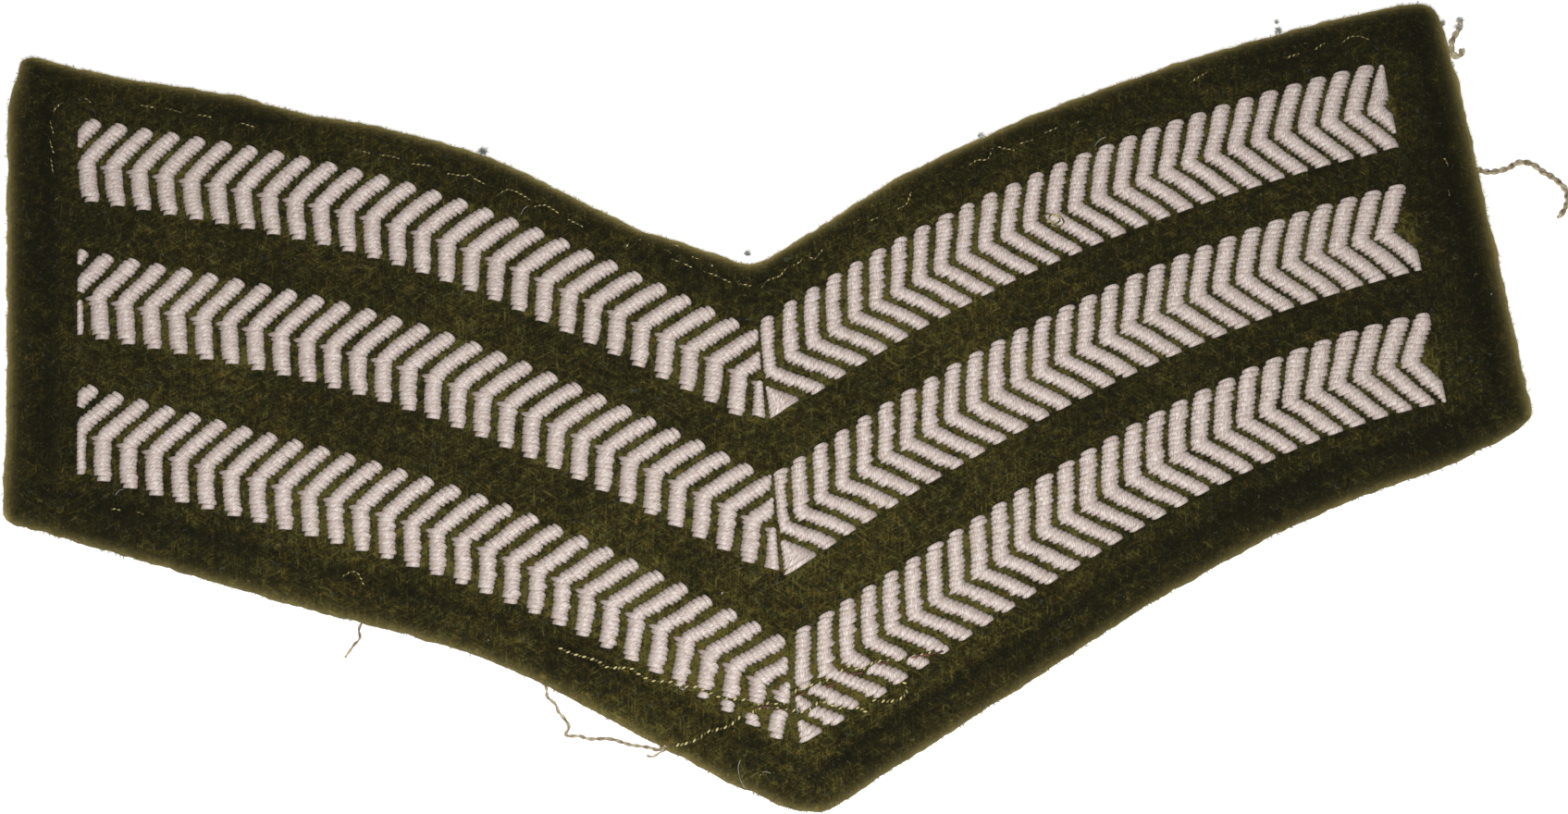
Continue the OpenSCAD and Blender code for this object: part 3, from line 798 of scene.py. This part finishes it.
def feltPiece():
    mesh, outline, outwards = feltBlank()
    p = readVectors(mesh.vertices, "co").astype(float) / mm
    fromEdge, edgeIndex = nearest(outline, p)
    fromStitch, _ = nearest(stitchPoints, p)
    outward = outwards[edgeIndex]
    thick, faceFrom = patch["feltThick"], feltLook["faceFrom"]
    top = np.clip((p[:, 2] - faceFrom) / (thick - faceFrom), 0, 1)
    topEdge = outward[:, 1] > feltLook["upperEdge"]
    # face: uneven, bedded down under the stitching, with the sewing line drawn in
    lift = feltLook["uneven"] * noiseAt(p, 6.0) + feltLook["tufts"] * noiseAt(p, 0.9, 5.0)
    lift -= feltLook["bedded"] * np.exp(-(fromStitch / feltLook["beddedReach"]) ** 2)
    grooveAt = feltLook["grooveAt"] - feltLook["grooveShift"] * outward[:, 0]
    groove = np.exp(-((fromEdge - grooveAt) / feltLook["grooveWide"]) ** 2)
    groove *= np.where(topEdge, feltLook["upperGroove"], 1) * (1 + 0.7 * noiseAt(p, 1.6, 9.0))
    lift -= feltLook["grooveDeep"] * groove
    lip = feltLook["lip"] * np.where(topEdge, feltLook["upperLip"], 1)
    lift += lip * np.exp(-((fromEdge - feltLook["lipAt"]) / feltLook["lipWide"]) ** 2)
    # painted shade in the groove along the sewing line, on top of the painted light and shade of the field
    shade = fieldShade(p, fromStitch) - feltLook["grooveShade"] * groove
    # cut edge: rounded over and ragged
    near = np.clip(1 - fromEdge / feltLook["edgeReach"], 0, 1) ** 2
    lift -= feltLook["edgeDrop"] * near
    p[:, 2] += lift * top
    push = feltLook["ragged"] * noiseAt(p, 2.6, 3.0) + feltLook["frayed"] * noiseAt(p, 1.1, 7.0)
    p[:, :2] += (push * near)[:, None] * outward[:, :2]
    shiftCorners(p)
    shiftCorners(outline)
    rim = rimPale(outward, fromEdge, np.clip(1 - p[:, 2] / thick, 0, 1))
    p[:, 2] = np.clip(p[:, 2], 0.0, None)
    piece = addPiece("felt_ground_wool", mesh, p, feltFinish, "wool_felt", rim=rim, shade=shade)
    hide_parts("felt_ground")
    return piece, outline, outwards


felt, outline, outwards = feltPiece()

# Fibres: nap lying on the face, and fuzz that stands out of the cut edge. Sizes in mm.
fibres = {
    "sides": 3, "segments": 3, "bend": 0.35, "droop": 0.3, "thinned": 0.6, "aboveFloor": 0.01,
    "napCount": 6400, "napLength": (0.3, 0.9), "napRadius": (0.015, 0.035), "napMargin": 0.9,
    "napFrom": 1.2, "napSteepest": 0.4, "napClear": 0.4, "napLift": 0.01, "napRise": (0.02, 0.3),
    "napRim": 0.25, "napShade": 1.1,
    "fuzzCount": 7600, "fuzzLength": (0.14, 0.36), "fuzzRadius": (0.02, 0.045),
    "fuzzDepth": (0.05, 0.5), "fuzzHeight": (0.15, 1.75), "fuzzTurn": 0.7, "fuzzRise": (0.1, 0.35),
    "fuzzFromEdge": 0.1, "fuzzShade": 0.7,
}


def fibrePiece(name, roots, ways, lengths, radii, material, **values):
    # each further value is one number a fibre
    template = tubeMesh(fibres["sides"], fibres["segments"])
    cosine, sine, ring = templatePoints(template)
    t = ring / fibres["segments"]
    ways = unit(ways)
    bends = draws.normal(0, fibres["bend"], roots.shape) * lengths[:, None]
    bends[:, 2] = -np.abs(bends[:, 2]) * fibres["droop"]
    centre = (roots[:, None] + ways[:, None] * (lengths[:, None] * t)[..., None]
              + bends[:, None] * (t ** 2)[None, :, None])
    radius = (radii[:, None] * (1 - fibres["thinned"] * t))[..., None]
    points = centre + radius * aroundWays(ways, cosine, sine)
    points[..., 2] = np.clip(points[..., 2], fibres["aboveFloor"], None)
    addPiece(name, manyOf(template, len(roots)), points, material, "wool_felt",
             **{key: np.repeat(numbers, len(ring)) for key, numbers in values.items()})


def napPiece():
    centres = readVectors(felt.data.polygons, "center") / mm
    normals = readVectors(felt.data.polygons, "normal")
    face = centres[(normals[:, 2] > fibres["napSteepest"]) & (centres[:, 2] > fibres["napFrom"])]
    roots = face[draws.integers(0, len(face), fibres["napCount"] * 2)]
    clear, _ = nearest(stitchPoints, roots)
    fromEdge, _ = nearest(outline, roots)
    keep = (clear > fibres["napClear"]) & (fromEdge > fibres["napMargin"])
    roots, clear = [a[keep][:fibres["napCount"]] for a in (roots, clear)]
    n = len(roots)
    roots = roots + np.array([0, 0, fibres["napLift"]])
    angle = draws.uniform(0, 2 * math.pi, n)
    ways = np.stack([np.cos(angle), np.sin(angle), draws.uniform(*fibres["napRise"], n)], axis=1)
    fibrePiece("felt_nap", roots, ways, draws.uniform(*fibres["napLength"], n),
               draws.uniform(*fibres["napRadius"], n), napFinish, rim=fibres["napRim"] * draws.beta(1, 5, n),
               shade=fieldShade(roots, clear) + draws.normal(0, fibres["napShade"], n))


def fuzzPiece():
    n = fibres["fuzzCount"]
    pick = draws.integers(0, len(outline), n)
    out = outwards[pick].copy()
    roots = outline[pick] - out * draws.uniform(*fibres["fuzzDepth"], n)[:, None]
    roots[:, 2] = draws.uniform(*fibres["fuzzHeight"], n)
    turned = draws.normal(0, fibres["fuzzTurn"], n)
    ways = np.stack([out[:, 0] - turned * out[:, 1], out[:, 1] + turned * out[:, 0],
                     draws.normal(*fibres["fuzzRise"], n)], axis=1)
    pale = rimPale(out, fibres["fuzzFromEdge"], 1 - roots[:, 2] / patch["feltThick"])
    fibrePiece("edge_fuzz", roots, ways, draws.uniform(*fibres["fuzzLength"], n),
               draws.uniform(*fibres["fuzzRadius"], n), fuzzFinish, rim=pale * draws.uniform(0.5, 1, n),
               shade=draws.normal(0, fibres["fuzzShade"], n))


napPiece()
fuzzPiece()

# Lint, specks and hairs that cling to the patch: pixels, height in mm, size in mm, paleness
lint = {
    "tufts": [(522, 164, 1.6, 0.5, -0.05), (1380, 24, 1.6, 0.2, 0.0), (1382, 33, 1.6, 0.35, 0.0),
              (1060, 147, 1.6, 0.3, 0.0), (808, 274, 1.6, 0.3, 0.0), (1578, 22, 0.5, 0.35, 0.05),
              (1577, 29, 0.5, 0.35, 0.0), (1559, 25, 1.2, 0.3, 0.05)],
    "specks": [(770, 287, 2.1, 0.12, 0.4), (528, 692, 2.1, 0.1, 0.4), (781, 641, 2.2, 0.12, 0.5),
               (860, 733, 2.5, 0.3, 0.6), (850, 740, 2.4, 0.3, 0.6), (864, 768, 2.4, 0.35, 0.6),
               (738, 745, 2.3, 0.35, 0.5), (1612, 318, 2.1, 0.1, 0.3)],
    "tuftFibres": 150, "speckFibres": 12, "radius": (0.02, 0.035), "tintSpread": 0.1,
    "spread": 0.3, "length": (0.4, 1.1), "flatter": (1, 1, 0.4),  # shares of its size
}


def lintPiece():
    spots = [(*spot, lint[count]) for key, count in (("tufts", "tuftFibres"), ("specks", "speckFibres"))
             for spot in lint[key]]
    centres = np.vstack([np.tile(seenAt(px, py, z), (count, 1)) for px, py, z, _, _, count in spots])
    size = np.concatenate([np.full(count, size) for _, _, _, size, _, count in spots])
    tint = np.concatenate([np.full(count, pale) for _, _, _, _, pale, count in spots])
    n = len(size)
    roots = centres + draws.normal(0, lint["spread"], (n, 3)) * size[:, None] * lint["flatter"]
    ways = draws.normal(0, 1, (n, 3)) * lint["flatter"]
    fibrePiece("lint", roots, ways, draws.uniform(*lint["length"], n) * size,
               draws.uniform(*lint["radius"], n), lintFinish,
               tint=tint + draws.normal(0, lint["tintSpread"], n))


lintPiece()

# Sewing thread left in the patch. Stitches and the pulled thread show as a row of small humps,
# one for each turn of a ply; the loose ends are two plies wound together. Sizes in mm.
sewing = {
    "stitch": {"pitch": 0.25, "long": 0.30, "radius": 0.07, "slant": 25, "sink": 0.05, "pale": -0.12},
    "pulled": {"pitch": 0.40, "long": 0.44, "radius": 0.115, "slant": 35, "sink": 0.03, "pale": 0.0},
    "humpSides": 5, "humpSegments": 4, "humpRound": 0.93, "humpThick": (0.8, 1.1),
    "slantSpread": 8, "plyTint": 0.2, "tintSpread": 0.08,
    "laidIn": 0.02, "holeDepth": 0.3, "holeShare": 0.15,
    "plyRadius": 0.125, "twistRadius": 0.115, "twist": 1.8, "step": 0.1, "fineStep": 0.2,
    "tangleThin": 0.35, "tangleHeight": 2.98, "tangleRise": 0.12,
}


def humpPiece(name, routes, look, material):
    template = tubeMesh(sewing["humpSides"], sewing["humpSegments"])
    cosine, sine, ring = templatePoints(template)
    lines = [smoothRoute(route, look["pitch"]) for route in routes]
    centre = np.vstack(lines)
    ahead = unit(np.vstack([np.gradient(line, axis=0) for line in lines]))
    n = len(centre)
    slant = np.radians(look["slant"] + draws.normal(0, sewing["slantSpread"], n))
    along = np.stack([ahead[:, 0] * np.cos(slant) - ahead[:, 1] * np.sin(slant),
                      ahead[:, 0] * np.sin(slant) + ahead[:, 1] * np.cos(slant), ahead[:, 2]], axis=1)
    centre[:, 2] -= np.abs(draws.normal(0, look["sink"], n))
    t = (ring / sewing["humpSegments"] * 2 - 1)[None, :, None]
    thick = look["radius"] * draws.uniform(*sewing["humpThick"], n)[:, None, None]
    thick = thick * np.sqrt(1 - (sewing["humpRound"] * t) ** 2)
    points = (centre[:, None] + along[:, None] * t * look["long"] / 2
              + thick * aroundWays(along, cosine, sine))
    tint = look["pale"] + sewing["plyTint"] * (-1.0) ** np.arange(n)
    tint = tint + draws.normal(0, sewing["tintSpread"], n)
    addPiece(name, manyOf(template, n), points, material, "satin_thread", tint=np.repeat(tint, len(ring)))


def plies(route, thin):
    # the two plies that wind round a route
    line = smoothRoute(route, sewing["step"])
    sideways, upwards = squareTo(unit(np.gradient(line, axis=0)))
    angle = 2 * math.pi * lengthsAlong(line) / sewing["twist"] + draws.uniform(0, math.pi)
    for start in (0, math.pi):
        yield (line + thin * sewing["twistRadius"] * (np.cos(angle + start)[:, None] * sideways
               + np.sin(angle + start)[:, None] * upwards), thin * sewing["plyRadius"])


def strandPiece(name, strands, material):
    curve = bpy.data.curves.new(name, "CURVE")
    curve.dimensions = "3D"
    curve.bevel_depth = mm
    curve.bevel_resolution = 1
    curve.use_fill_caps = True
    for line, radius in strands:
        spline = curve.splines.new("POLY")
        spline.points.add(len(line) - 1)
        spline.points.foreach_set("co", np.column_stack([line * mm, np.ones(len(line))]).ravel())
        spline.points.foreach_set("radius", np.full(len(line), radius))
    addPiece(name, meshOf(bpy.data.objects.new(name, curve)), None, material, "satin_thread")


# Ends left of the line of running stitches: pixels, each from one needle hole to the next.
runningStitches = [
    [(58, 119), (63, 114), (67, 111)], [(86, 108), (91, 106), (97, 110)], [(54, 131), (57, 142)],
    [(54, 152), (57, 163)], [(55, 172), (57, 185)], [(154, 114), (166, 116)], [(180, 117), (194, 121)],
    [(214, 124), (226, 126)], [(261, 133), (274, 137)], [(385, 162), (398, 165)],
    [(412, 168), (420, 168), (430, 171)], [(445, 177), (455, 178), (465, 179)],
    [(486, 188), (502, 190), (508, 188), (513, 193), (524, 199)],
    [(539, 210), (545, 206), (551, 205), (560, 208), (573, 216)],
    [(579, 223), (590, 222), (603, 230)], [(616, 238), (628, 244)],
    [(677, 267), (682, 261), (691, 259), (700, 263), (705, 270)],
    [(713, 272), (720, 270), (730, 277), (737, 274)], [(724, 266), (731, 265), (737, 272)],
    [(723, 279), (737, 284), (748, 289)], [(749, 278), (758, 281)],
    [(762, 294), (772, 297), (780, 301), (790, 305)], [(801, 307), (813, 309)],
    [(824, 310), (830, 303), (843, 298), (850, 290), (859, 286), (865, 283)],
    [(866, 282), (868, 277), (875, 277), (880, 280), (889, 270)], [(923, 242), (928, 238)],
    [(941, 238), (950, 235)], [(972, 225), (980, 220), (985, 207)],
    [(1048, 178), (1057, 173), (1067, 172), (1072, 163), (1075, 157), (1083, 160), (1095, 162)],
    [(1103, 155), (1117, 151)], [(1131, 143), (1143, 138)], [(1160, 134), (1168, 131)],
    [(1288, 88), (1303, 79)], [(1392, 62), (1403, 58)], [(1422, 53), (1431, 47)],
    [(1452, 45), (1459, 40), (1468, 39), (1473, 40), (1480, 43)], [(1562, 172), (1565, 178)],
    [(1566, 206), (1567, 210)], [(121, 550), (128, 551)], [(147, 553), (153, 555)],
    [(372, 622), (380, 618), (387, 620), (392, 630)],
]
# Loose ends beyond the cut edge: pixels, and the height there in mm.
looseEnds = [
    [(586, 728, 1.6), (589, 735, 0.9), (591, 747, 0.25), (592, 754, 0.2), (600, 761, 0.2), (604, 770, 0.2),
     (610, 777, 0.2), (615, 786, 0.2), (612, 795, 0.2), (627, 796, 0.2), (637, 799, 0.25),
     (660, 799, 0.35), (680, 805, 0.3), (700, 808, 0.4), (712, 811, 0.9), (720, 806, 1.7)],
    [(1593, 181, 1.6), (1600, 184, 0.8), (1612, 186, 0.3), (1630, 182, 0.2), (1640, 176, 0.3),
     (1655, 177, 0.5), (1668, 186, 0.4), (1680, 193, 0.25), (1692, 205, 0.2), (1694, 218, 0.2),
     (1690, 228, 0.2), (1685, 235, 0.2)],
    [(1580, 53, 0.3), (1580, 58, 0.3), (1575, 61, 0.3), (1570, 58, 0.35), (1569, 50, 0.4),
     (1570, 43, 0.35), (1574, 36, 0.3), (1578, 29, 0.3), (1578, 21, 0.3)],
    [(396, 668, 1.3), (391, 674, 0.5), (388, 681, 0.2), (389, 690, 0.2), (383, 697, 0.2),
     (378, 704, 0.2), (373, 711, 0.2)],
    [(722, 809, 0.9), (713, 814, 0.3), (706, 818, 0.2), (699, 817, 0.2)],
]
looseThickness = (0.75, 1.3, 1.4, 0.6, 0.5)
paleHairs = [
    [(800, 822), (798, 830), (800, 842), (805, 852)], [(822, 838), (827, 834), (833, 836)],
    [(563, 232), (566, 226), (570, 223)], [(1183, 158), (1189, 151), (1195, 148)],
    [(125, 535), (129, 530), (134, 529)],
]
slits = [
    [(817, 766), (824, 764), (834, 765)], [(837, 767), (849, 767)], [(856, 755), (870, 749)],
    [(884, 745), (893, 743), (903, 739)], [(914, 727), (923, 729), (932, 727)],
    [(945, 719), (960, 716)], [(985, 711), (1003, 708), (1020, 704)],
]
tangle = [(1127, 234), (1133, 231), (1141, 233), (1146, 238), (1140, 242), (1134, 237), (1137, 232),
          (1146, 234), (1150, 241), (1143, 245), (1136, 243)]


def stitchRoute(pixels):
    # a stitch comes out of the felt, lies along it and goes in again
    surface = patch["feltThick"]
    route = seenRoute(pixels, surface - sewing["laidIn"])
    first, last = route[0].copy(), route[-1].copy()
    first[2] = last[2] = surface - sewing["holeDepth"]
    first[:2] += (route[0] - route[1])[:2] * sewing["holeShare"]
    last[:2] += (route[-1] - route[-2])[:2] * sewing["holeShare"]
    return [first] + route + [last]


def laidRoute(key):
    height, ripple = pulledThread["height"], pulledThread["ripple"]
    return [seenAt(x, y, height + ripple * math.sin(x)) for x, y in pulledThread[key]]


def looseRoute(pixels, thin):
    # on the floor the thread rests on its own thickness
    rest = thin * (sewing["plyRadius"] + sewing["twistRadius"])
    return [seenAt(x, y, max(z, rest)) for x, y, z in pixels]


def fineStrands(routes, height, radius):
    return [(smoothRoute(seenRoute(route, height), sewing["fineStep"]), radius) for route in routes]


humpPiece("running_stitch_ends", [stitchRoute(pixels) for pixels in runningStitches], sewing["stitch"],
          sewingFinish)
humpPiece("pulled_thread", [laidRoute(key) for key in ("main", "lower", "hook", "tail")], sewing["pulled"],
          sewingFinish)
looseStrands = [strand for thin, route in zip(looseThickness, looseEnds)
                for strand in plies(looseRoute(route, thin), thin)]
strandPiece("loose_thread_ends", looseStrands, looseFinish)
tangleRoute = [seenAt(x, y, sewing["tangleHeight"] + sewing["tangleRise"] * (i % 3))
               for i, (x, y) in enumerate(tangle)]
strandPiece("thread_tangle", plies(tangleRoute, sewing["tangleThin"]), sewingFinish)
strandPiece("brown_thread", fineStrands(slits, height=2.5, radius=0.09), slitFinish)
strandPiece("pale_hairs", fineStrands(paleHairs, height=2.1, radius=0.022), lintFinish)

# Light, floor and picture
studio = {
    "keyPower": 0.515, "keyPlace": (-8, -68, 222), "keySize": 45,
    "fillPower": 0.18, "fillPlace": (-20, 150, 460), "fillSize": 450,
    "aimAt": (0, 10, 0), "worldLevel": 0.2, "floorSize": 3000, "floorDown": 0.05, "floorGlow": 0.35,
}


def areaLight(name, power, place, size):
    data = bpy.data.lights.new(name, "AREA")
    data.energy = power
    data.size = size * mm
    obj = addObject(name, data)
    toPatch = Vector(studio["aimAt"]) - Vector(place)
    obj.matrix_world = (Matrix.Translation(Vector(place) * mm)
                        @ toPatch.to_track_quat("-Z", "Y").to_matrix().to_4x4())


def makeStudio():
    areaLight("keyLight", studio["keyPower"], studio["keyPlace"], studio["keySize"])
    areaLight("fillLight", studio["fillPower"], studio["fillPlace"], studio["fillSize"])
    scene = bpy.context.scene
    scene.world = bpy.data.worlds.new("studioWorld")
    scene.world.use_nodes = True
    background = scene.world.node_tree.nodes["Background"]
    background.inputs[0].default_value = (1, 1, 1, 1)
    background.inputs[1].default_value = studio["worldLevel"]
    scene.view_settings.view_transform = "Standard"
    bm = bmesh.new()
    bmesh.ops.create_grid(bm, x_segments=1, y_segments=1, size=studio["floorSize"] / 2 * mm)
    bmesh.ops.translate(bm, verts=bm.verts, vec=(0, 0, -studio["floorDown"] * mm))
    mesh = meshFrom(bm, "paleFloor")
    material, tree, shader = newMaterial("paleFloor", 0.9, 0.1)
    shader.inputs["Base Color"].default_value = (0.94, 0.94, 0.93, 1)
    shader.inputs["Emission Color"].default_value = (1, 1, 1, 1)
    shader.inputs["Emission Strength"].default_value = studio["floorGlow"]  # keeps its shadows pale
    mesh.materials.append(material)
    floor = addObject("paleFloor", mesh)


makeStudio()

print("scene made")
